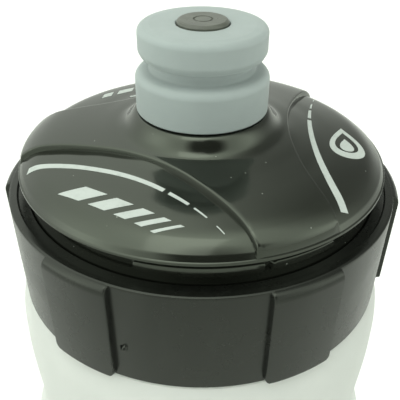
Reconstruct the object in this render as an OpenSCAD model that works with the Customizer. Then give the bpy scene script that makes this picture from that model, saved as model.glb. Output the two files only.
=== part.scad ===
// Squeeze bottle for a bicycle bottle cage: blow-moulded body, screw collar,
// captive lid and a push-pull nozzle that closes on a fixed plug.
// Units are millimetres, +Z runs up the bottle's axis, the origin is the
// centre of the base and the front of the bottle faces -Y.

/* [Body] */
// Outside diameter of the body, which is what the cage holds
body_d = 73.5; // [72:0.5:75]
// Outside diameter at the narrowest point of the grip waist
waist_d = 67.6; // [66:0.2:69]
// Height of the waist's narrowest point above the base
waist_z = 121; // [112:1:126]
// Outside diameter of the bulge between the waist and the collar
bulge_d = 69.5; // [68.5:0.1:70.5]
// Wall thickness of the body
wall = 0.9; // [0.7:0.1:1.4]
// Height of the dome pushed up into the base
base_push = 6; // [3:0.5:9]

/* [Neck and thread] */
// Outside diameter of the neck between the threads
neck_d = 61.2; // [61:0.1:61.4]
// Wall thickness of the neck
neck_wall = 1.7; // [1.4:0.1:2]
// Thread pitch, the rise in one turn
pitch = 5; // [4.5:0.25:6]
// Radial height of the thread
thread_h = 1.1; // [0.7:0.05:1.15]

/* [Collar] */
// Height of the collar's top edge above the base
collar_top = 168; // [166:0.5:172]
// Height of the collar
collar_h = 18.8; // [18:0.1:19]
// Outside diameter of the collar between its pads
collar_d = 68; // [67.6:0.1:68.4]
// How far the grip pads stand out of the collar
pad_out = 1.1; // [0.5:0.1:1.6]
// Number of grip pads
pad_count = 6; // [3:1:8]
// Width of a grip pad, in degrees
pad_deg = 21; // [12:1:30]
// Direction of the first grip pad, in degrees from the front
pad_turn = 27; // [0:1:59]

/* [Lid] */
// Largest diameter of the lid's rounded rim
rim_d = 63.8; // [63:0.2:64]
// Height of the raised three-armed star above the sunk panels
star_h = 0.9; // [0.4:0.1:1.2]
// Distance from the axis to the nearest point of a sunk panel
panel_in = 15.1; // [14.5:0.1:17]
// Radius of the curve that bounds a sunk panel, seen from above
panel_r = 45; // [38:1:60]
// Direction of the first sunk panel, in degrees from the front
panel_turn = -32; // [-60:1:60]

/* [Nozzle] */
// Diameter of the nozzle's top disc
nozzle_d = 21.2; // [19:0.2:22.4]
// Diameter of the nozzle's skirt
skirt_d = 22.4; // [21:0.2:23]
// Diameter of the nozzle between the disc and the skirt
nozzle_waist_d = 16.6; // [15.8:0.2:18]

/* [Hidden] */
$fn = 96;

run = 0.08;                 // running clearance on a radius

// Body
body_r = body_d/2;
waist_r = waist_d/2;
bulge_r = bulge_d/2;
neck_r = neck_d/2;
neck_in = neck_r - neck_wall;
heel_w = 6;                 // radial width of the rounded heel
heel_h = 7;
foot_r = 29;                // where the pushed-up dome meets the ground
waist_fall = 16;            // height over which the body narrows to the waist
waist_rise = 18;            // height over which it widens to the bulge
shoulder_h = 7;
shoulder_in = 2.2;          // radial depth of the full shoulder curve
shoulder_curve_h = 7.4;     // height of the full curve, cut short at the neck
shoulder_z = collar_top - collar_h - 0.5;   // top of the shoulder
bulge_top = shoulder_z - shoulder_h;

// Levels from here on are measured from the collar's top edge
mouth_level = -4.6;         // rim of the mouth, under the gasket
flange_bottom = -3.05;
flange_top = -1.65;
mouth_z = collar_top + mouth_level;

// Threads
body_thread_level = -12.9;
collar_thread_level = -17.6;
rib_sink = 0.5;             // depth of a rib's root in its wall
rib_root = 0.95;            // half height of a rib at its root
rib_crest = 0.5;            // half height of a rib at its crest
rib_steps = 24;             // arcs in one turn
rib_overlap = 0.4;          // degrees

// Collar
collar_r = collar_d/2;
collar_foot_r = collar_r - 0.6;     // outside radius at the bottom edge
bore_r = 32.15;                     // inside of the collar's wall

// Lid
guide_r = 30.6;             // lid wall on which the collar turns
rim_r = rim_d/2;
lid_in = 27.2;              // inside of the lid's skirt and wall
lid_skirt_r = 28.75;
flange_r = 31.3;
dome_top = 13;
spigot_r = 6;
spigot_bore = 4.6;
bead_r = 6.55;              // bead that stops the nozzle
spigot_top = 23.9;
seal_level = 22.6;          // middle of the nozzle's ring seal
seal_groove_h = 1.3;
tab_spans = [[31.6, 35.8], [61.2, 21.2]];   // direction from the panel, width; degrees

// Plug
plug_bottom = 11.2;
plug_ring_h = 3;
post_r = 1.9;
plug_head_r = 4.25;

// Nozzle
sleeve_r = 7.3;             // joint between the hard sleeve and the soft grip
sleeve_bottom = 13.8;
sleeve_top = 26.2;
slide_r = spigot_r + run;
outlet_r = plug_head_r + run;

// Smooth step from 0 to 1
function ease(t) = (1 - cos(180*min(1, max(0, t))))/2;
function mix(start, end, t) = start + (end - start)*t;
function reverse(list) = [for (i = [len(list) - 1:-1:0]) list[i]];

// Points on an arc of a half section, between two directions in degrees
function arc(x, z, radius, from, to, steps = 6) =
    [for (i = [0:steps]) let (angle = mix(from, to, i/steps))
        [x + radius*cos(angle), z + radius*sin(angle)]];

// Solid turned from [radius, level] points, levels from the collar's top edge
module turned(profile) {
    rotate_extrude() polygon([for (p = profile) [p[0], collar_top + p[1]]]);
}

// Wedge of a ring between two radii and two levels, direction 0 at the front
module wedge(inner, outer, middle, width, bottom, top) {
    translate([0, 0, collar_top + bottom]) rotate([0, 0, middle - width/2 - 90])
        rotate_extrude(angle = width)
            translate([inner, 0]) square([outer - inner, top - bottom]);
}

// Flat ring standing on z = 0
module ring(outer, inner, height) {
    difference() {
        cylinder(r = outer, h = height);
        translate([0, 0, -1]) cylinder(r = inner, h = height + 2);
    }
}

// One turn of screw rib: overlapping arcs of a trapezium that climb round the
// axis. side is 1 for a rib that stands outward and -1 for one that stands
// inward; start is its direction from the front.
module rib(radius, level, start, side) {
    root = radius - side*rib_sink;
    crest = radius + side*thread_h;
    for (i = [0:rib_steps - 1])
        translate([0, 0, collar_top + level + pitch*(i + 0.5)/rib_steps])
            rotate([0, 0, start - 90 + 360*i/rib_steps])
                rotate_extrude(angle = 360/rib_steps + rib_overlap)
                    polygon([[root, -rib_root], [crest, -rib_crest],
                             [crest, rib_crest], [root, rib_root]]);
}

// Outside radius of the body at height z, from above the heel to the shoulder
function body_out(z) =
    z <= waist_z ? mix(body_r, waist_r, ease((z - (waist_z - waist_fall))/waist_fall))
  : z <= waist_z + waist_rise ? mix(waist_r, bulge_r, ease((z - waist_z)/waist_rise))
  : z <= bulge_top ? bulge_r
  : bulge_r - shoulder_in
    + shoulder_in*sqrt(1 - pow((z - bulge_top)/shoulder_curve_h, 2));

// Heights at which the body's outline is sampled
body_steps = concat(
    [for (i = [0:12]) waist_z - waist_fall + i*waist_fall/12],
    [for (i = [1:12]) waist_z + i*waist_rise/12],
    [for (i = [0:9]) bulge_top + shoulder_h*sin(i*10)]);

// Rounded heel, from the ground up to the side, moved in by inset
function heel(inset) = [for (i = [0:10]) let (angle = i*9)
    [body_r - heel_w + (heel_w - inset)*sin(angle),
     heel_h - (heel_h - inset)*cos(angle)]];

// Underside of the pushed-up base, from the axis outward
base_dome = [for (i = [0:12]) [i*foot_r/12, base_push*pow(cos(90*i/12), 0.8)]];

module bottle_shell() {
    rotate_extrude()
        polygon(concat(
            // outside, from the middle of the base to the mouth
            base_dome,
            heel(0),
            [for (z = body_steps) [body_out(z), z]],
            [[neck_r + 1, shoulder_z + 0.05], [neck_r + 0.3, shoulder_z + 0.35],
             [neck_r, shoulder_z + 1], [neck_r, mouth_z - 0.3], [neck_r - 0.3, mouth_z],
             [neck_in + 0.3, mouth_z], [neck_in, mouth_z - 0.3]],
            // inside, from the mouth back to the middle of the base
            [[neck_in, shoulder_z - 0.2], [neck_in + 0.4, shoulder_z - 0.9]],
            [for (z = reverse(body_steps)) if (z < shoulder_z - 1.6) [body_out(z) - wall, z]],
            reverse(heel(wall)),
            [for (p = reverse(base_dome)) [p[0], p[1] + wall]]));
}

// Blow-moulded body with the screw thread on its neck
module bottle_body() {
    color([0.86, 0.89, 0.86]) {
        bottle_shell();
        rib(radius = neck_r, level = body_thread_level, start = 0, side = 1);
    }
}

// Wall of the collar, with the lip over the lid's flange
module collar_wall() {
    lip_r = guide_r + run;
    turned([
        [collar_foot_r, -collar_h], [collar_r, -0.5], [collar_r - 0.15, -0.15],
        [collar_r - 0.5, 0], [32.7, 0], [32.4, -0.12], [31.2, -0.5],
        [lip_r + 0.1, -0.5], [lip_r, -0.6], [lip_r, -1.6],
        [bore_r, -1.6], [bore_r, 0.4 - collar_h], [bore_r + 0.3, -collar_h]]);
}

// Grip pad with a rounded top, cut from a full ring
module grip_pad(direction) {
    pad_foot_r = collar_foot_r + pad_out;
    intersection() {
        wedge(inner = collar_r - 1.1, outer = collar_r + pad_out + 1,
              middle = direction, width = pad_deg, bottom = -collar_h, top = 0);
        turned([
            [collar_r - 1, -collar_h], [pad_foot_r - 0.3, -collar_h],
            [pad_foot_r, 0.3 - collar_h],
            [collar_r + pad_out, -1.6], [collar_r + pad_out*0.95, -1.19],
            [collar_r + pad_out*0.83, -0.86], [collar_r + pad_out*0.6, -0.54],
            [collar_r + pad_out*0.3, -0.34], [collar_r - 0.1, -0.25],
            [collar_r - 1, -0.25]]);
    }
}

// Screw collar: wall and lip, grip pads outside, one thread inside
module screw_collar() {
    color([0.09, 0.09, 0.09]) {
        collar_wall();
        for (i = [0:pad_count - 1])
            grip_pad(pad_turn + i*360/pad_count);
        rib(radius = bore_r, level = collar_thread_level, start = 180, side = -1);
    }
}

// Lid's panel surface, from the rim inward: radius, level
lid_surface = [
    [31.6, 4.3], [31.0, 5.1], [30.0, 5.95], [28.5, 6.75], [27.0, 7.2], [25.0, 7.56],
    [23.0, 7.86], [21.0, 8.1], [19.0, 8.42], [17.03, 8.72], [15.03, 9.2], [14.03, 9.7],
    [13.0, 10.5], [12.0, 11.75], [11.3, 12.7], [10.6, dome_top]];

// Half section of the lid's top, closed on the axis. The surface is raised by
// lift, which fades out at the rim and towards the spigot.
function lid_section(lift) = concat(
    [[0, 1], [guide_r, 1], [guide_r, 3.2], [guide_r + 0.6, 3.4],
     [rim_r - 0.2, 3.6], [rim_r, 4.0]],
    [for (p = lid_surface)
        [p[0], p[1] + lift*ease((lid_surface[0][0] - p[0])/1.5)*ease((p[0] - 11)/3)]],
    [[0, dome_top]]);

// Plan of the star: a disc less three shallow-curved segments
module star_plan() {
    difference() {
        circle(r = rim_r + 1);
        for (i = [0:2])
            rotate(panel_turn + 120*i) translate([0, -(panel_in + panel_r)])
                circle(r = panel_r);
    }
}

// Lid before it is hollowed
module lid_solid() {
    turned(lid_section(0));
    intersection() {
        turned(lid_section(star_h));
        translate([0, 0, collar_top]) linear_extrude(20) star_plan();
    }
    // wall on which the collar turns, flange under its lip, skirt in the mouth
    turned([
        [lid_in, -9], [28.3, -9], [lid_skirt_r, -8.2], [lid_skirt_r, flange_bottom],
        [flange_r, flange_bottom], [flange_r, flange_top], [guide_r, flange_top],
        [guide_r, 2], [lid_in, 2]]);
    // tabs that keep the collar on the lid: a wide and a narrow one, three times
    for (i = [0:2], span = tab_spans)
        wedge(inner = guide_r - 1, outer = guide_r + 0.55,
              middle = panel_turn + 120*i + span[0], width = span[1],
              bottom = 1.15, top = 3.05);
    // spigot and its bead
    turned([
        [4.0, 12], [spigot_r, 12], [spigot_r, 21.5], [bead_r, 21.5],
        [bead_r, spigot_top - 0.3], [bead_r - 0.25, spigot_top], [4.0, spigot_top]]);
}

// Captive lid: panelled dome, spigot for the nozzle, flange and mouth skirt
module lid_dome() {
    color([0.11, 0.11, 0.10])
        difference() {
            lid_solid();
            // hollow under the dome
            turned(concat(
                [[0, -10], [lid_in, -10], [28.4, 2], [28.4, 3.5]],
                [for (p = lid_surface) if (p[0] < 29 && p[0] > 12.5) [p[0] - 0.6, p[1] - 2]],
                [[8, 10.5], [spigot_bore, 10.8], [0, 10.8]]));
            translate([0, 0, collar_top]) cylinder(r = spigot_bore, h = 30);
            // groove for the nozzle's ring seal
            translate([0, 0, collar_top + seal_level - seal_groove_h/2])
                ring(outer = 8, inner = 5.4, height = seal_groove_h);
        }
}

// Flat ring that seals the lid's flange on the rim of the mouth
module lid_gasket() {
    inner = 28.8;
    outer = 31.1;
    edge = 0.15;    // chamfer
    color([0.72, 0.74, 0.72])
        turned([
            [inner, mouth_level + edge], [inner + edge, mouth_level],
            [outer - edge, mouth_level], [outer, mouth_level + edge],
            [outer, flange_bottom - edge], [outer - edge, flange_bottom],
            [inner + edge, flange_bottom], [inner, flange_bottom - edge]]);
}

// Plug: a disc head on a post, carried by a three-armed ring in the spigot
module valve_plug() {
    color([0.30, 0.30, 0.28]) {
        difference() {
            turned([
                [0, plug_bottom], [post_r - 0.3, plug_bottom], [post_r, plug_bottom + 0.3],
                [post_r, 23.6], [2.4, 24.6], [3.9, 25.4], [plug_head_r, 25.8],
                [plug_head_r, 27.75], [4.0, 28.0], [3.95, 28.15], [0, 28.15]]);
            // shallow ring mark in the middle of the head
            translate([0, 0, collar_top + 28.03]) ring(outer = 1.45, inner = 1.3, height = 1);
        }
        translate([0, 0, collar_top + plug_bottom])
            ring(outer = spigot_bore, inner = 3.7, height = plug_ring_h);
        for (i = [0:2])
            rotate([0, 0, 120*i + 30]) translate([1.4, -0.5, collar_top + plug_bottom])
                cube([2.8, 1, plug_ring_h]);
    }
}

// Ring seal between the spigot and the sliding nozzle
module spigot_oring() {
    color([0.12, 0.12, 0.12])
        translate([0, 0, collar_top + seal_level])
            rotate_extrude() translate([spigot_r, 0]) circle(r = 0.6);
}

// Hard sleeve inside the nozzle, which slides on the spigot
module nozzle_core() {
    chamber_r = 6.62;
    color([0.80, 0.82, 0.82])
        turned([
            [slide_r, sleeve_bottom], [sleeve_r, sleeve_bottom], [sleeve_r, sleeve_top],
            [outlet_r, sleeve_top], [outlet_r, 25.0], [5.2, 24.4], [chamber_r, 24.4],
            [chamber_r, 14.4], [slide_r, 14.4]]);
}

// Soft grip moulded over the sleeve: skirt, waist and top disc
module nozzle_grip() {
    skirt_r = skirt_d/2;
    disc_r = nozzle_d/2;
    grip_waist_r = nozzle_waist_d/2;
    color([0.70, 0.74, 0.73])
        turned(concat(
            [[sleeve_r, sleeve_bottom], [8.4, sleeve_bottom], [8.4, 13.2]],
            arc(skirt_r - 0.4, 13.6, 0.4, -90, 0, 3),
            arc(skirt_r - 1.6, 18.2, 1.6, 0, 80),
            arc(grip_waist_r + 1.3, 21.1, 1.3, 260, 180, 4),
            arc(grip_waist_r + 0.7, 21.9, 0.7, 180, 100, 3),
            arc(disc_r - 1.3, 23.5, 1.3, -80, 0),
            arc(disc_r - 1.8, 25.5, 1.8, 0, 82),
            [[outlet_r + 0.15, 27.55], [outlet_r, 27.4], [outlet_r, sleeve_top],
             [sleeve_r, sleeve_top]]));
}

bottle_body();
screw_collar();
lid_dome();
lid_gasket();
valve_plug();
spigot_oring();
nozzle_core();
nozzle_grip();
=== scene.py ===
"""A squeeze bottle: milky body, black screw collar, glossy lid with a three-armed star and
printed marks, soft grey nozzle with a plug in its mouth.

The bottle stands upright on the floor, its axis on Z. Shapes are worked out in millimetres
in the CAD's own frame and scaled once, in make_mesh. Directions round the axis are in degrees
from the front (-Y), growing towards +X. A profile lists (radius, height, corner rounding).
"""
import math

import bpy
import numpy as np
from mathutils import Matrix, Vector


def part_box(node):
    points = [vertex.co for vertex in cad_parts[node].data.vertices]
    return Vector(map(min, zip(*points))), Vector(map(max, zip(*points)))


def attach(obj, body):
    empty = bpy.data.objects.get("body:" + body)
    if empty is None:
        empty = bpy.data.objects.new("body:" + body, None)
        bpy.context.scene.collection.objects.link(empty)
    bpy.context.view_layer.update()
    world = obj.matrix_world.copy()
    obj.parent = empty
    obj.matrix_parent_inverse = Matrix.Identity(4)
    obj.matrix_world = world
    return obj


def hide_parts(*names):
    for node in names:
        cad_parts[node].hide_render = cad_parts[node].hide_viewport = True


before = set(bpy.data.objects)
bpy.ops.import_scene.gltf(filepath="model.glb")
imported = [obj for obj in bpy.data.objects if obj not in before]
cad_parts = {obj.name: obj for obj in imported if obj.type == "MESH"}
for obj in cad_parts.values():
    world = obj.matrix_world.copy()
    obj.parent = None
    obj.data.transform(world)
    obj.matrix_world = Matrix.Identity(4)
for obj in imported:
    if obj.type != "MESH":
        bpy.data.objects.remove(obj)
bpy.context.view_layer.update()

scene = bpy.context.scene


def radius_of(piece):
    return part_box(piece)[1].x * 1000


def bottom_of(piece):
    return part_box(piece)[0].z * 1000


def top_of(piece):
    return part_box(piece)[1].z * 1000


MM = 0.001
TOP = top_of("screw_collar")            # collar's top edge, the datum of most heights
COLLAR_BASE = bottom_of("screw_collar")
BODY_R = radius_of("bottle_body")
MOUTH = top_of("bottle_body")
PLUG_TOP = top_of("valve_plug")
RIM_R = radius_of("lid_dome")
SKIRT_R = radius_of("nozzle_grip")
NOZZLE_BASE = bottom_of("nozzle_grip")
NOZZLE_TOP = top_of("nozzle_grip")


# ---------------------------------------------------------------- geometry helpers

def ease(share):
    """Smooth step from 0 to 1."""
    return (1 - np.cos(np.pi * np.clip(share, 0.0, 1.0))) / 2


def wrap(angle):
    """Angle wrapped to -180..180 degrees."""
    return (angle + 180.0) % 360.0 - 180.0


def bezier(share, *controls):
    """Value at share along a Bezier curve."""
    order = len(controls) - 1
    return sum(math.comb(order, k) * (1 - share) ** (order - k) * share ** k * control
               for k, control in enumerate(controls))


def rounded_gap(across, along, corner):
    """Distance outside a round-cornered box, from the distances beyond its straight edges."""
    across, along = across + corner, along + corner
    return (np.minimum(np.maximum(across, along), 0)
            + np.hypot(np.maximum(across, 0), np.maximum(along, 0)) - corner)


class Spline:
    """Natural cubic spline through (x, y) points, x rising; level beyond the ends."""

    def __init__(self, points):
        self.x, self.y = np.array(points, float).T
        self.step = np.diff(self.x)
        slope = np.diff(self.y) / self.step
        count = len(self.x)
        matrix, jump = np.eye(count), np.zeros(count)
        for i in range(1, count - 1):
            before, after = self.step[i - 1], self.step[i]
            matrix[i, i - 1:i + 2] = before, 2 * (before + after), after
            jump[i] = 6 * (slope[i] - slope[i - 1])
        self.bend = np.linalg.solve(matrix, jump)

    def __call__(self, x):
        x = np.clip(x, self.x[0], self.x[-1])
        i = np.clip(np.searchsorted(self.x, x) - 1, 0, len(self.step) - 1)
        step = self.step[i]
        low, high = (self.x[i + 1] - x) / step, (x - self.x[i]) / step
        curve = (low ** 3 - low) * self.bend[i] + (high ** 3 - high) * self.bend[i + 1]
        return low * self.y[i] + high * self.y[i + 1] + curve * step * step / 6


def fillet(corners, segments=6, support=0.12, closed=True, base=0.0):
    """Half section with rounded corners and a supporting point beside each arc.
    Corners are (radius, height above base, rounding); an open section keeps its ends."""
    points = np.array([(corner[0], base + corner[1]) for corner in corners], float)
    count, outline = len(points), []
    for i, point in enumerate(points):
        rounding = corners[i][2] if len(corners[i]) > 2 else 0.0
        if rounding <= 0 or (not closed and i in (0, count - 1)):
            outline.append(point)
            continue
        back, ahead = points[i - 1] - point, points[(i + 1) % count] - point
        back_len, ahead_len = np.linalg.norm(back), np.linalg.norm(ahead)
        back, ahead = back / back_len, ahead / ahead_len
        angle = math.acos(max(-1.0, min(1.0, float(back @ ahead))))
        if angle > math.pi - 0.03:
            outline.append(point)
            continue
        cut = min(rounding / math.tan(angle / 2), 0.46 * back_len, 0.46 * ahead_len)
        rounding = cut * math.tan(angle / 2)
        middle = (back + ahead) / np.linalg.norm(back + ahead)
        centre = point + middle * rounding / math.sin(angle / 2)
        start, end = point + back * cut - centre, point + ahead * cut - centre
        sweep = math.acos(max(-1.0, min(1.0, float(start @ end) / rounding ** 2)))
        if back_len - cut > 3 * support:
            outline.append(point + back * (cut + support))
        for k in range(segments + 1):
            share = k / segments
            blend = start * math.sin((1 - share) * sweep) + end * math.sin(share * sweep)
            outline.append(centre + blend / math.sin(sweep))
        if ahead_len - cut > 3 * support:
            outline.append(point + ahead * (cut + support))
    return np.array(outline)


def fillet_between(corners, segments, support, base=0.0):
    """The rounded run of an open section, without its two end points."""
    return fillet(corners, segments, support, False, base)[1:-1]


def make_mesh(name, points, quads, triangles=(), sharp=34):
    """A smooth mesh from millimetre points, turned outside-out by its own volume."""
    points = np.asarray(points, float) * MM
    faces = [np.asarray(group, np.int64) for group in (quads, triangles) if len(group)]
    volume = 0.0
    for group in faces:
        first, second, third = (points[group[:, k]] for k in range(3))
        volume += np.einsum("ij,ij->i", first, np.cross(second, third)).sum()
        if group.shape[1] == 4:
            volume += np.einsum("ij,ij->i", first, np.cross(third, points[group[:, 3]])).sum()
    if volume < 0:
        faces = [group[:, ::-1] for group in faces]
    loops = np.concatenate([group.ravel() for group in faces])
    totals = np.concatenate([np.full(len(group), group.shape[1]) for group in faces])
    starts = np.cumsum(totals) - totals
    mesh = bpy.data.meshes.new(name)
    mesh.vertices.add(len(points))
    mesh.vertices.foreach_set("co", points.astype(np.float32).ravel())
    mesh.loops.add(len(loops))
    mesh.loops.foreach_set("vertex_index", loops.astype(np.int32))
    mesh.polygons.add(len(starts))
    mesh.polygons.foreach_set("loop_start", starts.astype(np.int32))
    mesh.polygons.foreach_set("loop_total", totals.astype(np.int32))
    mesh.polygons.foreach_set("use_smooth", np.ones(len(starts), bool))
    mesh.update(calc_edges=True)
    mesh.validate()
    mesh.set_sharp_from_angle(angle=math.radians(sharp))
    return link(name, mesh)


def link(name, data):
    thing = bpy.data.objects.new(name, data)
    scene.collection.objects.link(thing)
    return thing


def directions(count, *packed):
    """Directions in radians: count spread evenly, then packed closer (step) within half
    a width of each centre, for every (centres, half, step) in degrees."""
    angles = list(np.arange(count) * 360.0 / count - 180.0)
    for centres, half, step in packed:
        for centre in centres:
            angles = [angle for angle in angles if abs(wrap(angle - centre)) > half]
            angles += list(wrap(centre + np.arange(-half, half + step / 2, step)))
    return np.radians(np.array(sorted(angles)))


def turned(name, rows, around, closed=True, sharp=34):
    """Surface of rows (radius, height), each one number or one per direction around.
    closed joins the last row to the first; otherwise both end rows are on the axis."""
    radii, heights = (np.array([np.broadcast_to(row[k], around.shape) for row in rows])
                      for k in (0, 1))
    count, columns = radii.shape
    grid = np.stack([radii * np.sin(around), -radii * np.cos(around), heights], -1)
    j = np.arange(columns)
    beside = (j + 1) % columns
    if closed:
        points = grid.reshape(-1, 3)
        low = np.arange(count)
        high, base, caps = (low + 1) % count, 0, ()
    else:
        points = np.concatenate([grid[:1, 0], grid[1:-1].reshape(-1, 3), grid[-1:, 0]])
        low = np.arange(count - 3)
        high, base = low + 1, 1
        tip, last = len(points) - 1, base + (count - 3) * columns
        caps = np.concatenate([
            np.stack([np.zeros(columns, int), base + beside, base + j], -1),
            np.stack([np.full(columns, tip), last + j, last + beside], -1)])
    low, high = base + low[:, None] * columns, base + high[:, None] * columns
    quads = np.stack([low + j, low + beside, high + beside, high + j], -1).reshape(-1, 4)
    return make_mesh(name, points, quads, caps, sharp)


# ---------------------------------------------------------------- shader helpers

class Shader:
    """Builds the node tree of a material or world. Most methods return an output socket."""

    def __init__(self, owner, output="OutputMaterial"):
        owner.use_nodes = True
        self.owner, self.tree = owner, owner.node_tree
        self.tree.nodes.clear()
        self.output = self.add(output)

    def feed(self, socket, value):
        if isinstance(value, bpy.types.NodeSocket):
            self.tree.links.new(value, socket)
        else:
            socket.default_value = (*value, 1) if socket.type == "RGBA" else value

    def add(self, kind, *by_place, **by_name):
        node = self.tree.nodes.new("ShaderNode" + kind)
        for i, value in enumerate(by_place):
            self.feed(node.inputs[i], value)
        for name, value in by_name.items():
            self.feed(node.inputs[name.replace("_", " ")], value)
        return node

    def finish(self, surface):
        self.feed(self.output.inputs["Surface"], surface)
        return self.owner

    def coords(self, stretch=(1, 1, 1)):
        place = self.add("TexCoord").outputs["Object"]
        return self.add("Mapping", Vector=place, Scale=stretch).outputs["Vector"]

    def noise(self, scale, detail=3.0, rough=0.6, stretch=(1, 1, 1), warp=0.0):
        return self.add("TexNoise", Scale=scale, Detail=detail, Roughness=rough,
                        Distortion=warp, Vector=self.coords(stretch)).outputs["Fac"]

    def ramp(self, factor, stops):
        node = self.add("ValToRGB", factor)
        elements = node.color_ramp.elements
        while len(elements) > 1:
            elements.remove(elements[-1])
        elements[0].position = stops[0][0]
        elements[0].color = (*stops[0][1], 1)
        for position, color in stops[1:]:
            elements.new(position).color = (*color, 1)
        return node.outputs["Color"]

    def mottle(self, dark, light, scale, detail=4.0, rough=0.55, span=(0.3, 0.7)):
        """Two tones in soft patches."""
        tone = self.noise(scale, detail, rough)
        return self.ramp(tone, [(span[0], dark), (span[1], light)])

    def remap(self, value, to, span=(0.3, 0.7)):
        return self.add("MapRange", value, *span, *to).outputs["Result"]

    def mix(self, factor, first, second):
        node = self.add("Mix")
        node.data_type = "RGBA"
        for i, value in ((0, factor), (6, first), (7, second)):
            self.feed(node.inputs[i], value)
        return node.outputs[2]

    def math(self, operation, first, second=0.0):
        node = self.add("Math", first, second)
        node.operation = operation
        return node.outputs[0]

    def grain(self, scale, strength, depth, detail=3.0, rough=0.6, stretch=(1, 1, 1), under=None):
        """Bumps of noise, depth in metres, over the normal under."""
        height = self.noise(scale, detail, rough, stretch)
        node = self.add("Bump", Strength=strength, Distance=depth, Height=height)
        if under is not None:
            self.feed(node.inputs["Normal"], under)
        return node.outputs["Normal"]

    def specks(self, scale, size, share):
        """1 inside sparse flecks, 0 elsewhere; share is the part of cells that hold one."""
        cells = self.add("TexVoronoi", Scale=scale, Randomness=1.0, Vector=self.coords())
        near = self.math("LESS_THAN", cells.outputs["Distance"], size)
        pick = self.add("SeparateColor", cells.outputs["Color"]).outputs[0]
        return self.math("MULTIPLY", near, self.math("LESS_THAN", pick, share))

    def principled(self, **values):
        return self.add("BsdfPrincipled", **values).outputs["BSDF"]


def new_shader(name):
    return Shader(bpy.data.materials.new(name))


# ---------------------------------------------------------------- materials

def lid_material():
    mat = new_shader("lid_gloss_black")
    base = mat.mottle((0.0045, 0.0050, 0.0038), (0.0080, 0.0088, 0.0068),
                      scale=45.0, detail=3.0, rough=0.5)
    dust = mat.math("MAXIMUM", mat.specks(scale=900.0, size=0.10, share=0.05),
                    mat.specks(scale=330.0, size=0.05, share=0.05))
    color = mat.mix(dust, base, (0.15, 0.16, 0.145))
    smears = mat.noise(scale=160.0, detail=5.0, rough=0.62, stretch=(1.0, 0.45, 1.0), warp=0.6)
    rough = mat.remap(smears, span=(0.3, 0.75), to=(0.085, 0.155))
    rough = mat.math("ADD", rough, mat.math("MULTIPLY", dust, 0.4))
    normal = mat.grain(scale=420.0, detail=2.0, rough=0.5, strength=0.30, depth=0.00002)
    normal = mat.grain(scale=5200.0, detail=2.0, strength=0.12, depth=0.000006, under=normal)
    return mat.finish(mat.principled(Base_Color=color, Roughness=rough, IOR=1.65, Normal=normal,
                                     Specular_Tint=(0.90, 1.0, 0.83)))


def collar_material():
    mat = new_shader("collar_satin_black")
    base = mat.mottle((0.0036, 0.0041, 0.0033), (0.0066, 0.0073, 0.0060),
                      scale=60.0, span=(0.3, 0.72))
    rubbed = mat.noise(scale=260.0, detail=5.0, rough=0.65, stretch=(1.0, 1.0, 0.18))
    rubbed = mat.remap(rubbed, span=(0.52, 0.80), to=(0.0, 0.16))
    dust = mat.specks(scale=700.0, size=0.08, share=0.02)
    color = mat.mix(rubbed, base, (0.034, 0.037, 0.033))
    color = mat.mix(dust, color, (0.13, 0.135, 0.12))
    rough = mat.remap(mat.noise(scale=140.0, detail=4.0), to=(0.21, 0.31))
    normal = mat.grain(scale=4200.0, rough=0.7, strength=0.45, depth=0.000014)
    normal = mat.grain(scale=900.0, detail=4.0, rough=0.7, stretch=(1.0, 1.0, 0.04),
                       strength=0.25, depth=0.00001, under=normal)
    return mat.finish(mat.principled(Base_Color=color, Roughness=rough, IOR=1.46, Normal=normal,
                                     Specular_Tint=(0.93, 1.0, 0.88)))


def nozzle_material():
    mat = new_shader("nozzle_soft_grey")
    base = mat.mottle((0.285, 0.328, 0.322), (0.315, 0.362, 0.355),
                      scale=120.0, span=(0.25, 0.75))
    grime = mat.noise(scale=420.0, detail=6.0, rough=0.7, warp=0.8)
    grime = mat.remap(grime, span=(0.62, 0.85), to=(0.0, 0.22))
    color = mat.mix(grime, base, (0.24, 0.28, 0.265))
    rough = mat.remap(mat.noise(scale=300.0, rough=0.5), to=(0.50, 0.62))
    normal = mat.grain(scale=5200.0, detail=2.0, strength=0.30, depth=0.000012)
    normal = mat.grain(scale=260.0, detail=2.0, rough=0.5, strength=0.25, depth=0.00003,
                       under=normal)
    return mat.finish(mat.principled(
        Base_Color=color, Roughness=rough, IOR=1.42, Normal=normal, Subsurface_Weight=0.25,
        Subsurface_Radius=(1.0, 1.05, 1.0), Subsurface_Scale=0.0012,
        Sheen_Weight=0.08, Sheen_Roughness=0.5))


def plug_material():
    mat = new_shader("plug_dark_grey")
    base = mat.mottle((0.066, 0.072, 0.058), (0.090, 0.098, 0.078), scale=500.0, rough=0.6)
    swirl = mat.noise(scale=900.0, detail=5.0, rough=0.7, stretch=(1.0, 3.0, 1.0), warp=0.5)
    rough = mat.remap(swirl, to=(0.26, 0.42))
    normal = mat.grain(scale=3800.0, rough=0.65, strength=0.35, depth=0.00001)
    return mat.finish(mat.principled(Base_Color=base, Roughness=rough, IOR=1.5, Normal=normal))


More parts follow.
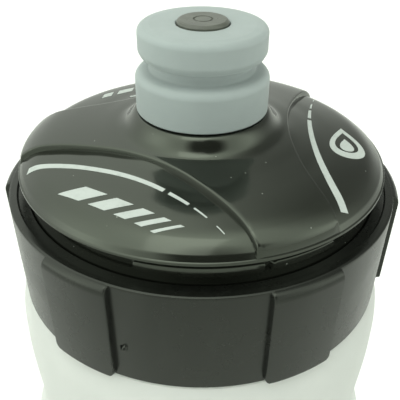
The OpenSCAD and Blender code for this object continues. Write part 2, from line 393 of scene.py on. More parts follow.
def body_material():
    """Plastic that glows with light from behind and lets a little straight through."""
    mat = new_shader("body_milky_polyethylene")
    base = mat.mottle((0.845, 0.860, 0.842), (0.885, 0.897, 0.880), scale=30.0)
    flow = mat.noise(scale=70.0, detail=4.0, stretch=(1.0, 1.0, 0.2))
    flow = mat.remap(flow, span=(0.45, 0.8), to=(0.0, 0.3))
    color = mat.mix(flow, base, (0.80, 0.825, 0.80))
    rough = mat.remap(mat.noise(scale=220.0, detail=4.0), to=(0.34, 0.46))
    normal = mat.grain(scale=2600.0, strength=0.35, depth=0.00001)
    normal = mat.grain(scale=150.0, detail=2.0, rough=0.5, strength=0.30, depth=0.00006,
                       under=normal)
    skin = mat.principled(Base_Color=color, Roughness=rough, Normal=normal, IOR=1.5)
    glow = mat.add("BsdfTranslucent", Color=color, Normal=normal).outputs[0]
    clear = mat.add("BsdfTransparent", Color=(0.95, 0.965, 0.95)).outputs[0]
    glow_share, clear_share = 0.55, 0.12
    milky = mat.add("MixShader", glow_share, skin, glow).outputs[0]
    return mat.finish(mat.add("MixShader", clear_share, milky, clear).outputs[0])


def ink_material():
    mat = new_shader("print_pale_ink")
    wear = mat.noise(scale=700.0, detail=6.0, rough=0.7, warp=0.4)
    color = mat.ramp(wear, [(0.2, (0.32, 0.355, 0.335)), (0.45, (0.42, 0.46, 0.435)),
                            (0.8, (0.46, 0.50, 0.475))])
    rough = mat.remap(mat.noise(scale=1500.0), to=(0.32, 0.5))
    normal = mat.grain(scale=6000.0, detail=2.0, strength=0.3, depth=0.000006)
    return mat.finish(mat.principled(Base_Color=color, Roughness=rough, IOR=1.5, Normal=normal))


def simple_material(name, dark, light, rough):
    """Two close tones with an even fine grain."""
    mat = new_shader(name)
    base = mat.mottle(dark, light, scale=400.0, rough=0.6)
    rough = mat.remap(mat.noise(scale=800.0), to=(rough - 0.06, rough + 0.06))
    normal = mat.grain(scale=3000.0, strength=0.35, depth=0.00001)
    return mat.finish(mat.principled(Base_Color=base, Roughness=rough, IOR=1.45, Normal=normal))


LID_BLACK = lid_material()
COLLAR_BLACK = collar_material()
NOZZLE_GREY = nozzle_material()
PLUG_GREY = plug_material()
BODY_MILKY = body_material()
INK = ink_material()
SILICONE = simple_material("gasket_silicone", (0.50, 0.52, 0.50), (0.60, 0.62, 0.60), rough=0.55)
RUBBER = simple_material("oring_black_rubber", (0.014, 0.014, 0.014), (0.03, 0.03, 0.03),
                         rough=0.5)
SLEEVE_GREY = simple_material("sleeve_hard_grey", (0.52, 0.56, 0.55), (0.60, 0.64, 0.63),
                              rough=0.38)


def place(piece, material, body, slot, *nodes):
    piece.data.materials.append(material)
    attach(piece, body)
    if nodes:
        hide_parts(*nodes)


# ---------------------------------------------------------------- bottle body

PITCH, THREAD = 5.0, 1.1                # screw rib: rise per turn, height over the wall
NECK_R, NECK_BORE, WALL = 30.6, 28.9, 0.9
WAIST_R, WAIST_Z, BULGE_R = 33.8, 121.0, 34.75
SHOULDER = COLLAR_BASE - 0.5
SHOULDER_H, SHOULDER_IN = 7.0, 2.2      # the shoulder's roll: height, reach inward
HEEL_R, HEEL_H = 6.0, 7.0
SKIN = 0.06                             # the outside is drawn in by this
PARTING = (-90.0, 90.0)                 # directions of the parting lines
BASE_R = 29.0                           # radius of the pushed-up base


def screw_rib(azimuth, z, start_z, start):
    """How far a point stands on a one-turn screw rib, 0 to 1; the ends taper off."""
    best = np.zeros_like(azimuth)
    taper = 14.0
    for k in range(-2, 3):
        run = azimuth + 360.0 * k - start
        gap = np.abs(z - (start_z + PITCH * run / 360.0))
        rise = np.clip((0.95 - gap) / 0.45, 0, 1)
        ends = np.clip(run / taper, 0, 1) * np.clip((360.0 - run) / taper, 0, 1)
        best = np.maximum(best, rise * rise * (3 - 2 * rise) * ends)
    return best


def body_radius(z):
    """Outer radius of the body: straight, a waist, a bulge and a rolled shoulder."""
    if z > SHOULDER - SHOULDER_H:
        share = (z - SHOULDER + SHOULDER_H) / 7.4
        return BULGE_R - SHOULDER_IN + SHOULDER_IN * math.sqrt(1 - share * share)
    if z <= WAIST_Z:
        return BODY_R + (WAIST_R - BODY_R) * ease((z - (WAIST_Z - 16)) / 16)
    return WAIST_R + (BULGE_R - WAIST_R) * ease((z - WAIST_Z) / 18)


def base_height(radius):
    """Underside of the pushed-up base."""
    return 6.0 * math.cos(math.pi / 2 * min(1, radius / BASE_R)) ** 0.8


def make_bottle():
    around = directions(288, (PARTING, 1.6, 0.16))
    azimuth = np.degrees(around)

    def unevenness(z, radius):
        """Slight waves of a blow-moulded wall and its two parting lines."""
        fade = ease((z - 8) / 14) * ease((SHOULDER - z) / 12)
        wave = (0.05 * np.sin(3 * around + 0.05 * z) + 0.04 * np.sin(2 * around - 0.083 * z + 1.0)
                + 0.03 * np.sin(5 * around + 0.14 * z + 2.0))
        seam = sum(np.exp(-(wrap(azimuth - line) * radius * np.pi / 180 / 0.16) ** 2)
                   for line in PARTING)
        seam_fade = ease((z - 1.0) / 3) * ease((SHOULDER + 0.5 - z) / 2)
        return -SKIN + fade * wave * 0.5 + 0.055 * seam_fade * seam

    # outside: pushed-up base, standing ring, heel
    rows = [(radius, base_height(radius)) for radius in np.linspace(0, 27.6, 16)]
    rows.extend(fillet_between([(27.6, 0.55), (29.3, 0.0, 0.6), (31.5, 0.0, 1.5), (32.5, 0.2)],
                               4, 0.1))
    heel = [math.radians(i * 90 / 18) for i in range(2, 19)]
    rows += [(BODY_R - HEEL_R + HEEL_R * math.sin(turn) - SKIN, HEEL_H - HEEL_H * math.cos(turn))
             for turn in heel]
    roll = [SHOULDER - SHOULDER_H + SHOULDER_H * math.sin(math.radians(i * 90 / 14))
            for i in range(1, 15)]
    for z in np.concatenate([np.linspace(9, WAIST_Z - 17, 34),
                             np.linspace(WAIST_Z - 16, SHOULDER - SHOULDER_H, 44), roll]):
        radius = body_radius(z)
        rows.append((radius + unevenness(z, radius), z))
    rows.extend(fillet_between([(33.0, 0.02), (NECK_R, 0.3, 0.6), (NECK_R, 2.2)],
                               5, 0.1, SHOULDER))
    # neck with its screw rib, then the mouth
    rows += [(NECK_R + THREAD * screw_rib(azimuth, z, TOP - 12.9, 0.0), z)
             for z in np.arange(SHOULDER + 1.4, MOUTH - 0.5, 0.22)]
    rows.extend(fillet_between([(NECK_R, -1.2), (NECK_R, 0, 0.35),
                                (NECK_BORE, 0, 0.35), (NECK_BORE, -1.2)], 5, 0.1, MOUTH))
    # inside, back down to the middle of the base
    rows += [(NECK_BORE, z) for z in np.linspace(MOUTH - 2, SHOULDER + 0.6, 8)]
    rows.extend(fillet_between([(NECK_BORE, 0.4), (NECK_BORE, -0.75, 0.7), (32.0, -1.1)],
                               5, 0.1, SHOULDER))
    for z in np.concatenate([np.linspace(SHOULDER - 1.9, WAIST_Z - 16, 50),
                             np.linspace(WAIST_Z - 17, 9, 14)]):
        radius = body_radius(z)
        rows.append((radius - WALL + unevenness(z, radius), z))
    rows += [(BODY_R - HEEL_R + (HEEL_R - WALL) * math.sin(turn),
              HEEL_H - (HEEL_H - WALL) * math.cos(turn)) for turn in heel[-2::-1]]
    rows += [(radius, base_height(radius) + WALL) for radius in np.linspace(29.6, 0, 17)]
    bottle = turned("bottle_body_moulded", rows, around, closed=False, sharp=40)
    place(bottle, BODY_MILKY, "bottle", "body_milky", "bottle_body")


# ---------------------------------------------------------------- screw collar

PAD_OUT, PAD_DEG, PAD_TURN = 1.1, 20.5, 27.3    # six grip pads: height, width, first direction
PAD_ARC = 34.6 * np.pi / 180                    # length of one degree along the pads
COLLAR_R, BORE, LIP_R = 34.0, 32.15, 30.68
NUB_TURN, NUB_Z = -19.6, TOP - 12.1             # small moulded nub on the wall


def make_collar():
    pads = [PAD_TURN + 60 * i for i in range(6)]
    edges = [wrap(pad + side * PAD_DEG / 2) for pad in pads for side in (-1, 1)]
    around = directions(480, (edges, 1.7, 0.085), ([NUB_TURN + 0.3], 1.0, 0.1))
    azimuth = np.degrees(around)
    beyond = (np.min(np.abs(np.stack([wrap(azimuth - pad) for pad in pads])), 0) * PAD_ARC
              - PAD_DEG / 2 * PAD_ARC)          # distance past the nearest pad's side

    def pad_height(z):
        """Height of the grip pads over the collar's wall."""
        gap = rounded_gap(beyond, COLLAR_BASE - z, 1.3)
        side = 1 - (1 - np.clip(-gap / 0.27, 0, 1)) ** 2.2
        # the top rolls over in a quarter ellipse, its corners a little lower
        droop = 0.16 * np.clip((beyond + 0.6) / 0.6, 0, 1) ** 2
        rise = np.clip((z - (TOP - 1.6) + droop) / 1.52, 0, 1)
        foot = np.interp(z, [COLLAR_BASE, COLLAR_BASE + 0.12, COLLAR_BASE + 0.35],
                         [0.62, 0.88, 1.0])
        return PAD_OUT * side * np.sqrt(1 - rise * rise) * foot

    def wall(z):
        """Outer radius: a slight taper with the pads, and the nub in its shallow ring."""
        base = COLLAR_R - 0.6 + 0.6 * min(1.0, (z - COLLAR_BASE) / (TOP - 0.5 - COLLAR_BASE))
        away = np.hypot(wrap(azimuth - NUB_TURN) * 33.7 * np.pi / 180, z - NUB_Z)
        nub = (0.62 * np.clip(1.5 - away / 0.42, 0, 1) ** 0.7
               - 0.30 * np.exp(-((away - 0.86) / 0.24) ** 2))
        return base + np.maximum(pad_height(z), nub)

    # bottom edge, then up the outside, finer at the foot, the nub and the pads' tops
    rows = [(BORE + 0.45, COLLAR_BASE + 0.02), (BORE + 0.6, COLLAR_BASE),
            (COLLAR_R - 1.0, COLLAR_BASE), (wall(COLLAR_BASE) - 0.22, COLLAR_BASE),
            (wall(COLLAR_BASE) - 0.09, COLLAR_BASE + 0.03)]
    foot_steps = np.array([0.12, 0.24, 0.4, 0.6, 0.8, 1.0, 1.2, 1.45, 1.7, 2.0])
    rows += [(wall(z), z) for z in np.concatenate([
        COLLAR_BASE + foot_steps,
        np.arange(COLLAR_BASE + 2.5, NUB_Z - 1.1, 0.28),
        np.arange(NUB_Z - 1.0, NUB_Z + 1.01, 0.08),
        np.arange(NUB_Z + 1.2, TOP - 2.3, 0.28),
        np.arange(TOP - 2.2, TOP - 0.55, 0.07),
        [TOP - 0.51, TOP - 0.45, TOP - 0.39]])]
    # rolled top edge, flat ring, step down to the lip over the lid
    for radius, z in fillet_between(
            [(COLLAR_R, -0.36), (COLLAR_R - 0.04, -0.12, 0.12), (COLLAR_R - 0.34, 0, 0.35),
             (32.62, 0, 0.16), (32.42, -0.34, 0.12), (31.25, -0.46, 0.25),
             (LIP_R, -0.52, 0.20), (LIP_R, -1.5)], 6, 0.07, TOP):
        on_pad = radius > 33.4 and z > TOP - 0.45
        rows.append((radius + (pad_height(z) if on_pad else 0.0), z))
    rows.extend(fillet_between([(LIP_R, -1.1), (LIP_R, -1.6, 0.08), (BORE, -1.6, 0.25),
                                (BORE, -3)], 4, 0.06, TOP))
    # inner wall with its screw rib
    rows += [(BORE - THREAD * screw_rib(azimuth, z, TOP - 17.6, 180.0), z)
             for z in np.arange(TOP - 2.1, COLLAR_BASE + 0.5, -0.24)]
    rows += [(BORE, COLLAR_BASE + 0.35), (BORE + 0.2, COLLAR_BASE + 0.15)]
    collar = turned("screw_collar_ribbed", rows, around, sharp=38)
    place(collar, COLLAR_BLACK, "collar", "collar_black", "screw_collar")


# ---------------------------------------------------------------- lid

# Three sunk panels leave a raised star between them. A panel has its own plan coordinates:
# u outward along its middle, v across. Its inner edge is u = a + b v + c v v.
PANEL_TURN = -32.0
EDGE_A, EDGE_B, EDGE_C = 15.1, 0.020, 0.0118
# (radius, height above TOP) down the panels
PANEL_LINE = Spline([
    (12.0, 11.5), (13.0, 10.5), (15.0, 9.20), (17.0, 8.72), (19.0, 8.42), (21.0, 8.10),
    (23.0, 7.86), (25.0, 7.56), (27.0, 7.20), (29.0, 6.55), (31.0, 5.05)])
# (radius, height above TOP) down the hub and the star
STAR_LINE = Spline([
    (10.6, 13.0), (11.3, 12.93), (12.0, 12.25), (12.9, 11.10), (13.9, 10.35), (15.0, 10.08),
    (16.4, 9.88), (18.0, 9.62), (20.0, 9.34), (22.0, 9.07), (24.0, 8.80), (26.0, 8.46),
    (28.0, 7.97), (29.0, 7.55), (30.0, 6.97), (31.0, 6.22)])
HUB_R, PANEL_RIM_R, ARM_RIM_R = 13.4, 30.92, 30.4
PANEL_END_R = 29.9                      # the panels' inner edges are followed out to here
SPIGOT_R, SPIGOT_BORE, SPIGOT_TOP = 6.0, 4.6, 23.9
UNDER_R = 30.6                          # wall under the rim
TABS = ([(-0.4 + 120 * i, 17.9) for i in range(3)]      # (middle, half width) in degrees
        + [(29.2 + 120 * i, 10.6) for i in range(3)])
TAB_LOW, TAB_HIGH, TAB_OUT = TOP + 1.15, TOP + 3.05, 0.55
TAB_ARC = 30.9 * np.pi / 180            # length of one degree along the tabs


def panel_edge(v):
    return EDGE_A + EDGE_B * v + EDGE_C * v * v


def edge_slope(v):
    return EDGE_B + 2 * EDGE_C * v


def panel_distance(x, y):
    """Distance outside the nearest sunk panel, seen from above; negative inside it."""
    nearest = np.full(np.broadcast(x, y).shape, 1e9)
    for i in range(3):
        turn = math.radians(PANEL_TURN + 120 * i)
        u = x * math.sin(turn) - y * math.cos(turn)
        v = x * math.cos(turn) + y * math.sin(turn)
        nearest = np.minimum(nearest, (panel_edge(v) - u) / np.hypot(1, edge_slope(v)))
    return nearest


def lid_height(x, y):
    """Height of the lid's top surface above TOP: a steep bank with a softly rounded crest
    leads from the panels up to the star."""
    radius = np.hypot(x, y)
    star, panel = STAR_LINE(radius), PANEL_LINE(radius)
    gap = panel_distance(x, y)
    steep, crest = np.clip(gap / 0.30, 0, 1), np.clip(gap / 0.70, 0, 1)
    share = 0.88 * (1 - (1 - steep) ** 2.4) + 0.12 * (1 - (1 - crest) ** 2)
    return np.where(radius < 12.5, star, panel + (star - panel) * share)


def lid_directions():
    """Directions packed where panel edges meet the rim and at the ends of the tabs."""
    v = np.linspace(-32, 32, 6401)
    u = panel_edge(v)
    gap = np.hypot(u, v) - 31.3
    corners = [float(wrap(PANEL_TURN + 120 * i + math.degrees(math.atan2(v[j], u[j]))))
               for i in range(3) for j in np.nonzero(gap[:-1] * gap[1:] < 0)[0]]
    ends = [float(wrap(middle + side * half)) for middle, half in TABS for side in (-1, 1)]
    clear = [end for end in ends if min(abs(wrap(end - corner)) for corner in corners) > 5]
    return directions(560, (corners, 3.9, 0.1), (clear, 1.3, 0.13))


def bank_radii(azimuth):
    """Radii of the bank's crest and foot in each direction."""
    foot = np.full_like(azimuth, PANEL_END_R)
    square = np.ones_like(azimuth)      # how square the edge stands to the direction
    for i in range(3):
        phi = np.radians(wrap(azimuth - (PANEL_TURN + 120 * i)))
        # the edge crosses the direction at a root of quad r r + line r + EDGE_A
        quad, line = EDGE_C * np.sin(phi) ** 2 + 1e-9, EDGE_B * np.sin(phi) - np.cos(phi)
        inside = line * line - 4 * quad * EDGE_A
        meets = (inside > 0) & (line < 0)
        radius = (-line - np.sqrt(np.where(meets, inside, 0))) / (2 * quad)
        v, u = radius * np.sin(phi), radius * np.cos(phi)
        slope = edge_slope(v)
        facing = (u - slope * v) / (np.abs(radius) + 1e-9) / np.hypot(1, slope)
        square = np.where(meets & (radius < foot), facing, square)
        foot = np.where(meets, np.minimum(foot, radius), foot)
    foot = np.clip(foot, HUB_R + 0.8, PANEL_END_R)
    lean = 1 / np.clip(square, 0.3, 1.0)
    return np.maximum(foot - 0.72 * np.minimum(lean, 1.6), HUB_R + 0.3), foot


def lid_top_rows(around):
    """Rows from the hub out over the top and down the rim to its lower edge."""
    def height_at(radius):
        return lid_height(radius * np.sin(around), -radius * np.cos(around))

    crest, foot = bank_radii(np.degrees(around))
    # 0 off a panel, 1 off an arm of the star, where the rim starts further in
    roll = ease((panel_distance(31.0 * np.sin(around), -31.0 * np.cos(around)) + 0.3) / 1.6)
    rim = PANEL_RIM_R + (ARM_RIM_R - PANEL_RIM_R) * roll
    ledge = np.minimum(foot + 0.25, rim - 0.12)
    rows = []
    for inner, outer, shares in (
            (10.75, HUB_R, np.linspace(0, 1, 15)[:-1]),
            (HUB_R, crest, np.linspace(0, 1, 20)[:-1]),
            (crest, foot, np.linspace(0, 1, 27)[:-1] ** 0.8),
            (foot, ledge, np.linspace(0, 1, 5)[:-1]),
            (ledge, rim, np.linspace(0, 1, 26))):
        for share in shares:
            radius = inner + (outer - inner) * share
            rows.append((radius, TOP + height_at(radius)))

    rim_z = TOP + height_at(rim)
    step = 0.02
    slope = np.clip((rim_z - TOP - height_at(rim - step)) / step, -1.3, -0.3)
    end_r, end_z = RIM_R - 0.04, TOP + 4.02
    low_r, low_z = end_r - 0.30, end_z + 0.24
    knee_r, knee_z = rim + 0.15, rim_z + 0.15 * slope
    band_r, band_z = knee_r + 0.13, knee_z - 0.20
    for share in np.linspace(0, 1, 21)[1:]:
        # off a panel: a crisp corner, then a straight steep band
        if share <= 0.45:
            part = share / 0.45
            panel_r = bezier(part, rim, knee_r, band_r)
            panel_z = bezier(part, rim_z, knee_z, band_z)
        else:
            part = (share - 0.45) / 0.55
            panel_r = band_r + (low_r - band_r) * part
            panel_z = band_z + (low_z - band_z) * part
        # off an arm: a broad roll-over
        arm_r = bezier(share, rim, rim + 0.75, end_r - 0.28, low_r)
        arm_z = bezier(share, rim_z, rim_z + 0.75 * slope, end_z + 1.7, low_z)
        rows.append((panel_r + (arm_r - panel_r) * roll, panel_z + (arm_z - panel_z) * roll))
    # small bead along the rim's lower edge
    rows.extend(fillet_between(
        [(low_r, low_z), (end_r - 0.05, end_z + 0.17, 0.10), (end_r, TOP + 3.70, 0.20),
         (31.1, TOP + 3.58, 0.25), (UNDER_R, TOP + 3.3, 0.2), (UNDER_R, TOP + 2.6)], 6, 0.03))
    return rows


def tab_rows(azimuth):
    """Wall under the rim, with rounded tabs that keep the collar on the lid."""
    rows = []
    for z in np.arange(TOP + 3.2, TOP + 0.95, -0.09):
        stand = np.zeros_like(azimuth)
        for middle, half in TABS:
            beyond = np.abs(wrap(azimuth - middle)) * TAB_ARC - half * TAB_ARC
            gap = rounded_gap(beyond, max(TAB_LOW - z, z - TAB_HIGH), 0.75)
            stand = np.maximum(stand, ease(-gap / 0.26))
        rows.append((UNDER_R + TAB_OUT * stand, z))
    return rows


def make_lid():
    around = lid_directions()
    # spigot, outside, from its top past the seal's groove down to the hub
    spigot = [(SPIGOT_BORE, SPIGOT_TOP - 0.6), (SPIGOT_BORE, SPIGOT_TOP, 0.2),
              (6.25, SPIGOT_TOP, 0.2), (6.55, 23.55, 0.15), (6.55, 23.25, 0.06),
              (5.4, 23.25, 0.1), (5.4, 21.95, 0.1), (6.55, 21.95, 0.06), (6.55, 21.5, 0.1),
              (SPIGOT_R, 21.45, 0.12), (SPIGOT_R, 13.0, 0.35), (10.0, 13.0, 0.2), (10.6, 12.99)]
    # wall down to the bottom edge, then the inside back up into the spigot
    inside = [(UNDER_R, 0.8), (UNDER_R, -1.65, 0.15), (31.3, -1.65, 0.12), (31.3, -3.05, 0.12),
              (28.75, -3.05, 0.1), (28.75, -8.2, 0.2), (28.3, -9.0, 0.15), (27.2, -9.0, 0.15),
              (27.2, 1.5, 1.0), (28.35, 3.3, 0.8), (27.6, 5.2, 0.8), (25.6, 5.6, 0.8),
              (22.4, 6.0, 1.5), (16.4, 6.9, 1.5), (13.6, 7.9, 1.2), (12.2, 9.2, 0.8),
              (9.0, 10.4, 0.8), (SPIGOT_BORE, 10.8, 0.3), (SPIGOT_BORE, SPIGOT_TOP - 1.2)]
    rows = list(fillet(spigot, 4, 0.05, closed=False, base=TOP))
    rows += lid_top_rows(around) + tab_rows(np.degrees(around))
    rows.extend(fillet(inside, 5, 0.08, closed=False, base=TOP)[:-1])
    lid = turned("lid_dome_moulded", rows, around, sharp=42)
    place(lid, LID_BLACK, "lid", "lid_gloss", "lid_dome")


# ---------------------------------------------------------------- printed marks

INK_OVER, INK_UNDER = 0.045, 0.05       # the film's faces over and under the lid's surface

# One band per panel, centred on u = a + b v + c v v: (a, b, c, first v of the band)
STRIPES = ((19.28, -0.0309, 0.0112, -18.6),
           (19.05, 0.0116, 0.0078, -20.5),
           (19.16, -0.0100, 0.0095, -18.6))
# (name, v from, v to, width from, width to); the dashes follow the band
DASHES = (("dash_a", 6.6, 10.5, 0.62, 0.50),
          ("dash_b", 11.6, 14.2, 0.30, 0.24),
          ("dash_c", 16.2, 17.8, 0.17, 0.13))
# Slanted bars: (name, panel, outer u, depth along u, slant, ((v, width), ...))
BARS = (("bar", 0, 27.25, 3.0, 3.1, ((-8.6, 4.2), (-2.6, 3.1), (2.2, 2.1), (5.9, 1.3), (8.7, 0.7))),
        ("block", 2, 24.6, 2.0, 1.3, ((7.0, 2.0), (2.6, 3.2), (-2.4, 3.6))))
# Water drop: (name, inner and outer share of its size, middle u, middle v)
DROP = (("ring", 0.66, 1.0, 24.9, -1.4), ("core", 0.006, 0.40, 24.9, -2.4))


def print_film(name, panel, u, v, closed=False):
    """A thin closed film of ink on the lid, on a grid of points in a panel's coordinates.
    closed joins the last column to the first."""
    turn = math.radians(PANEL_TURN + 120 * panel)
    x, y = u * math.sin(turn) + v * math.cos(turn), -u * math.cos(turn) + v * math.sin(turn)
    if closed:
        normal = np.array([0.0, 0.0, 1.0])
    else:
        step = 0.02
        slope_x = (lid_height(x + step, y) - lid_height(x - step, y)) / (2 * step)
        slope_y = (lid_height(x, y + step) - lid_height(x, y - step)) / (2 * step)
        normal = np.stack([-slope_x, -slope_y, np.ones_like(slope_x)], -1)
        normal /= np.linalg.norm(normal, axis=-1, keepdims=True)
    base = np.stack([x, y, TOP + lid_height(x, y)], -1)
    points = np.concatenate([(base + INK_OVER * normal).reshape(-1, 3),
                             (base - INK_UNDER * normal).reshape(-1, 3)])
    rows, columns = x.shape
    under, last = rows * columns, (rows - 1) * columns
    quads = []
    for i in range(rows - 1):
        for j in range(columns if closed else columns - 1):
            here, beside = i * columns + j, i * columns + (j + 1) % columns
            quads.append([here, beside, beside + columns, here + columns])
            quads.append([under + here, under + here + columns,
                          under + beside + columns, under + beside])
    # side walls
    if closed:
        for j in range(columns):
            after = (j + 1) % columns
            for here, beside in ((j, after), (last + after, last + j)):
                quads.append([beside, here, under + here, under + beside])
    else:
        border = (list(range(columns)) + [i * columns + columns - 1 for i in range(1, rows)]
                  + [last + j for j in range(columns - 2, -1, -1)]
                  + [i * columns for i in range(rows - 2, 0, -1)])
        for here, beside in zip(border, border[1:] + border[:1]):
            quads.append([here, under + here, under + beside, beside])
    place(make_mesh(name, points, quads, sharp=30), INK, "lid", "lid_gloss")


def make_prints():
    for panel, (a, b, c, first) in enumerate(STRIPES):
        marks = (("band", first, 5.6, 1.26, 0.74),) + (DASHES if panel < 2 else ())
        for name, start, end, start_width, end_width in marks:
            v = np.linspace(start, end, max(8, int((end - start) * 3)))
            slope = b + 2 * c * v
            width = np.linspace(start_width, end_width, len(v))
            offset = np.linspace(-0.5, 0.5, 5)[:, None] * width / np.hypot(1, slope)
            print_film("print_%s_%d" % (name, panel), panel,
                       a + b * v + c * v ** 2 + offset, v - offset * slope)
    along, across = np.meshgrid(np.linspace(0, 1, 12), np.linspace(0, 1, 10), indexing="ij")
    for name, panel, outer, depth, slant, bars in BARS:
        for i, (start, width) in enumerate(bars):
            print_film("print_%s_%d" % (name, i), panel, outer - depth * along,
                       start + slant * along + width * across)
    turn = np.linspace(0, 2 * np.pi, 73)[:-1]
    for name, inner, outer, middle_u, middle_v in DROP:
        share = np.linspace(inner, outer, 6)[:, None]
        print_film("print_drop_" + name, 1,
                   middle_u + 4.1 * share * (np.sin(turn) * np.sin(turn / 2) ** 1.25),
                   middle_v + 5.4 * share * np.cos(turn), closed=True)


# ---------------------------------------------------------------- nozzle, plug, seals

WAIST_NOZZLE_R, HOLE_R = 8.3, 4.33
HEAD_R = SKIRT_R - 0.6
CORE_R, CORE_TOP = 7.3, 26.2            # the hard sleeve inside the grip; height above TOP
PLUG_LOW, PLUG_H = 11.2, 3.0            # foot of the plug above TOP, height of its ring
ARM_FROM, ARM_TO = 1.5, 4.1             # reach of the plug's arms


def make_nozzle():
    skirt = SKIRT_R - 0.02
    profile = fillet([
        (CORE_R, NOZZLE_BASE + 0.3, 0.05), (8.4, NOZZLE_BASE + 0.3, 0.1),
        (8.4, NOZZLE_BASE, 0.1), (skirt, NOZZLE_BASE, 0.35), (skirt, TOP + 19.75, 1.5),
        (8.9, TOP + 20.3, 0.7), (WAIST_NOZZLE_R, TOP + 21.1, 0.8),
        (WAIST_NOZZLE_R, TOP + 22.0, 0.7), (HEAD_R - 0.6, TOP + 22.35, 0.9),
        (HEAD_R, TOP + 23.4, 1.3), (HEAD_R, TOP + 27.2, 1.75), (8.6, NOZZLE_TOP - 0.06, 1.0),
        (HOLE_R + 0.1, NOZZLE_TOP - 0.02, 0.2), (HOLE_R, NOZZLE_TOP - 0.5, 0.1),
        (HOLE_R, TOP + CORE_TOP, 0.05), (CORE_R, TOP + CORE_TOP, 0.05)], 8, 0.12)
    grip = turned("nozzle_grip_soft", profile, directions(224), sharp=45)
    place(grip, NOZZLE_GREY, "nozzle", "nozzle_soft", "nozzle_grip")


def make_core():
    profile = fillet([
        (6.08, 13.8, 0.12), (CORE_R, 13.8, 0.12), (CORE_R, CORE_TOP, 0.08),
        (HOLE_R, CORE_TOP, 0.08), (HOLE_R, 25.0, 0.1), (5.2, 24.4, 0.2), (6.62, 24.4, 0.2),
        (6.62, 14.4, 0.1), (6.08, 14.4, 0.08)], 4, 0.08, base=TOP)
    core = turned("nozzle_core_sleeve", profile, directions(160), sharp=45)
    place(core, SLEEVE_GREY, "nozzle", "nozzle_hard", "nozzle_core")


def make_plug_arm(k):
    """A round-edged bar from the post out to the ring."""
    turn = math.radians(120 * k + 30)
    cos, sin = math.cos(turn), math.sin(turn)
    section = fillet([(-0.5, 0, 0.18), (0.5, 0, 0.18), (0.5, PLUG_H, 0.18),
                      (-0.5, PLUG_H, 0.18)], 3, 0.3)
    stations, sides = 6, len(section)
    points = []
    for i in range(stations):
        reach = ARM_FROM + (ARM_TO - ARM_FROM) * i / (stations - 1)
        points += [[reach * cos - across * sin, reach * sin + across * cos, TOP + PLUG_LOW + rise]
                   for across, rise in section]
    points += [[reach * cos, reach * sin, TOP + PLUG_LOW + PLUG_H / 2]
               for reach in (ARM_FROM, ARM_TO)]
    quads = [[i * sides + j, i * sides + (j + 1) % sides,
              (i + 1) * sides + (j + 1) % sides, (i + 1) * sides + j]
             for i in range(stations - 1) for j in range(sides)]
    centre, last = stations * sides, (stations - 1) * sides
    caps = []
    for j in range(sides):
        caps.append([centre, (j + 1) % sides, j])
        caps.append([centre + 1, last + j, last + (j + 1) % sides])
    return make_mesh("plug_arm_part_%d" % k, points, quads, caps, 40)


def make_plug():
    """The post, with the ring that holds it in the spigot and its three arms."""
    low = TOP + PLUG_LOW
    profile = [(0, low), *fillet([
        (0.7, low), (1.9, low, 0.2), (1.9, TOP + 23.6, 0.5), (2.4, TOP + 24.6, 0.5),
        (3.9, TOP + 25.4, 0.3), (4.25, TOP + 25.8, 0.2), (4.25, PLUG_TOP - 0.42, 0.12),
        (3.98, PLUG_TOP - 0.10, 0.10), (3.72, PLUG_TOP, 0.12), (1.62, PLUG_TOP, 0.02),
        (1.56, PLUG_TOP - 0.17, 0.02), (1.38, PLUG_TOP - 0.17, 0.02),
        (1.32, PLUG_TOP - 0.01, 0.02), (0.4, PLUG_TOP - 0.01)], 4, 0.05, closed=False),
        (0, PLUG_TOP - 0.01)]
    post = turned("valve_plug_post", profile, directions(160), closed=False, sharp=40)
    ring = fillet([(3.7, 11.2, 0.15), (SPIGOT_BORE, 11.2, 0.15), (SPIGOT_BORE, 14.2, 0.15),
                   (3.7, 14.2, 0.15)], 3, 0.1, base=TOP)
    parts = [post, turned("plug_ring_part", ring, directions(96))]
    parts += [make_plug_arm(k) for k in range(3)]
    bpy.ops.object.select_all(action="DESELECT")
    for part in parts:
        part.select_set(True)
    bpy.context.view_layer.objects.active = post
    bpy.ops.object.join()
    place(post, PLUG_GREY, "lid", "plug_grey", "valve_plug")


def make_seals():
    low, high = MOUTH, TOP - 3.05
    profile = fillet([(28.8, low, 0.3), (31.1, low, 0.3), (31.1, high, 0.3), (28.8, high, 0.3)],
                     4, 0.08)
    gasket = turned("lid_gasket_ring", profile, directions(224))
    place(gasket, SILICONE, "lid", "gasket_silicone", "lid_gasket")
    profile = [(SPIGOT_R + 0.6 * math.cos(turn), TOP + 22.6 + 0.6 * math.sin(turn))
               for turn in np.linspace(0, 2 * np.pi, 25)[:-1]]
    seal = turned("spigot_oring_seal", profile, directions(144))
    place(seal, RUBBER, "lid", "oring_black", "spigot_oring")


# ---------------------------------------------------------------- stage, light, camera (metres)

def toward(azimuth, elevation):
    """Unit vector in a direction given in degrees."""
    turn, rise = math.radians(azimuth), math.radians(elevation)
    return (math.cos(rise) * math.sin(turn), -math.cos(rise) * math.cos(turn), math.sin(rise))


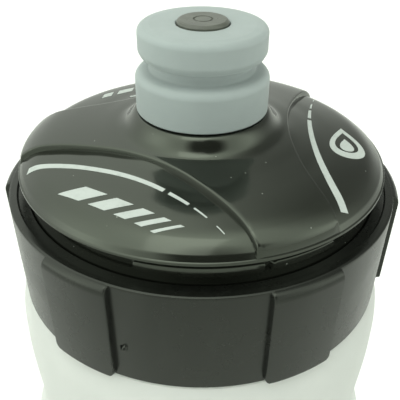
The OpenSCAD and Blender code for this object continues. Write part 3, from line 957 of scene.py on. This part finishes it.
def add_floor():
    """A pale disc, a little darker and calmer in reflections."""
    count = 96
    points, faces = [(0, 0, 0)], []
    for radius in (0.4, 1.0, 2.4):
        for i in range(count):
            turn = 2 * math.pi * i / count
            points.append((radius * math.cos(turn), radius * math.sin(turn), 0))
    for i in range(count):
        faces.append((0, 1 + i, 1 + (i + 1) % count))
    for k in range(2):
        for i in range(count):
            here, beside = 1 + k * count + i, 1 + k * count + (i + 1) % count
            faces.append((here, here + count, beside + count, beside))
    mesh = bpy.data.meshes.new("floor")
    mesh.from_pydata(points, [], faces)
    floor = link("floor", mesh)
    mat = new_shader("floor_pale")
    base = mat.mottle((0.86, 0.86, 0.86), (0.90, 0.90, 0.89), scale=3.0, detail=3.0, rough=0.5)
    glossy = mat.add("LightPath").outputs["Is Glossy Ray"]
    color = mat.mix(glossy, base, (0.64, 0.65, 0.63))
    mesh.materials.append(mat.finish(mat.principled(Base_Color=color, Roughness=0.7)))


# Soft patches of light in the room: (azimuth, elevation, tightness, power)
GLOWS = ((-20, 74, 6.0, 3.1), (-120, 50, 6.0, 0.9), (85, 40, 5.0, 0.8),
         (196, 52, 16.0, 0.6), (-72, 22, 11.0, 2.8), (78, 18, 11.0, 1.7))
# Dark patches: (azimuth, elevation, outer and inner angle, light left in the middle)
SHADES = ((8, 38, 31, 19, 0.08), (132, 36, 40, 17, 0.36))
ROOM_LEVEL, LEFT_GAIN, OVERHEAD_LOSS, ROOM_SCALE = 1.40, 0.12, 0.50, 0.66


def add_world():
    """A soft room, slightly brighter to the left (-X); the camera sees plain near-white."""
    scene.world = bpy.data.worlds.new("studio")
    sky = Shader(scene.world, "OutputWorld")
    ray = sky.add("TexCoord").outputs["Generated"]
    axes = sky.add("SeparateXYZ", ray).outputs

    def facing(azimuth, elevation):
        """Cosine of the angle between the ray and a direction."""
        node = sky.add("VectorMath", ray, toward(azimuth, elevation))
        node.operation = "DOT_PRODUCT"
        return node.outputs["Value"]

    level = sky.math("SUBTRACT", ROOM_LEVEL, sky.math("MULTIPLY", axes["X"], LEFT_GAIN))
    overhead = sky.math("MAXIMUM", axes["Z"], 0.0)
    level = sky.math("SUBTRACT", level, sky.math("MULTIPLY", overhead, OVERHEAD_LOSS))
    for azimuth, elevation, tightness, power in GLOWS:
        falloff = sky.math("SUBTRACT", facing(azimuth, elevation), 1.0)
        falloff = sky.math("EXPONENT", sky.math("MULTIPLY", falloff, tightness))
        level = sky.math("ADD", level, sky.math("MULTIPLY", falloff, power))
    for azimuth, elevation, outer, inner, left in SHADES:
        span = (math.cos(math.radians(outer)), math.cos(math.radians(inner)))
        shade = sky.remap(facing(azimuth, elevation), span=span, to=(1.0, left))
        level = sky.math("MULTIPLY", level, shade)
    level = sky.math("MULTIPLY", level, ROOM_SCALE)
    room = sky.add("Background", Color=(0.955, 1.0, 0.925), Strength=level).outputs[0]
    plain = sky.add("Background", Color=(0.97, 0.97, 0.965), Strength=1.0).outputs[0]
    seen = sky.add("LightPath").outputs["Is Camera Ray"]
    sky.finish(sky.add("MixShader", seen, room, plain).outputs[0])


def add_key_light():
    """A square lamp high at the front left, one metre from its target on the axis."""
    target = (0, 0, 0.17)
    x, y, z = toward(azimuth=-20, elevation=70)
    lamp = bpy.data.lights.new("key", "AREA")
    lamp.energy, lamp.color = 0.8, (1.0, 1.0, 0.975)
    lamp.shape = "RECTANGLE"
    lamp.size = lamp.size_y = 0.5
    place_at = (x, y, target[2] + z)
    key = bpy.data.objects.new("key", lamp)
    key.location = place_at
    key.rotation_mode = "QUATERNION"
    key.rotation_quaternion = (Vector(target) - Vector(place_at)).to_track_quat("-Z", "Y")
    scene.collection.objects.link(key)


CAMERA_TILT, CAMERA_ROLL = 0.56982, 0.01091     # radians: down from level, about the view
CAMERA_DISTANCE, CAMERA_RISE = 97.99, 57.95     # mm in front of the axis, mm above TOP


def add_camera():
    data = bpy.data.cameras.new("camera")
    camera = link("camera", data)
    forward = Vector((0, math.cos(CAMERA_TILT), -math.sin(CAMERA_TILT)))
    level = Vector((1, 0, 0))
    upright = level.cross(forward)
    right = level * math.cos(CAMERA_ROLL) + upright * math.sin(CAMERA_ROLL)
    up = upright * math.cos(CAMERA_ROLL) - level * math.sin(CAMERA_ROLL)
    camera.rotation_mode = "QUATERNION"
    camera.matrix_world = Matrix((
        (right.x, up.x, -forward.x, 0),
        (right.y, up.y, -forward.y, -CAMERA_DISTANCE * MM),
        (right.z, up.z, -forward.z, (TOP + CAMERA_RISE) * MM),
        (0, 0, 0, 1)))
    data.sensor_width = 36
    data.lens = 56.1267
    data.shift_x, data.shift_y = -0.00285, -0.01445
    data.clip_start, data.clip_end = 0.005, 20
    scene.camera = camera


make_bottle()
make_collar()
make_lid()
make_prints()
make_nozzle()
make_core()
make_plug()
make_seals()

add_floor()
add_world()
add_key_light()
add_camera()
scene.view_settings.view_transform = "Standard"
scene.view_settings.look = "None"
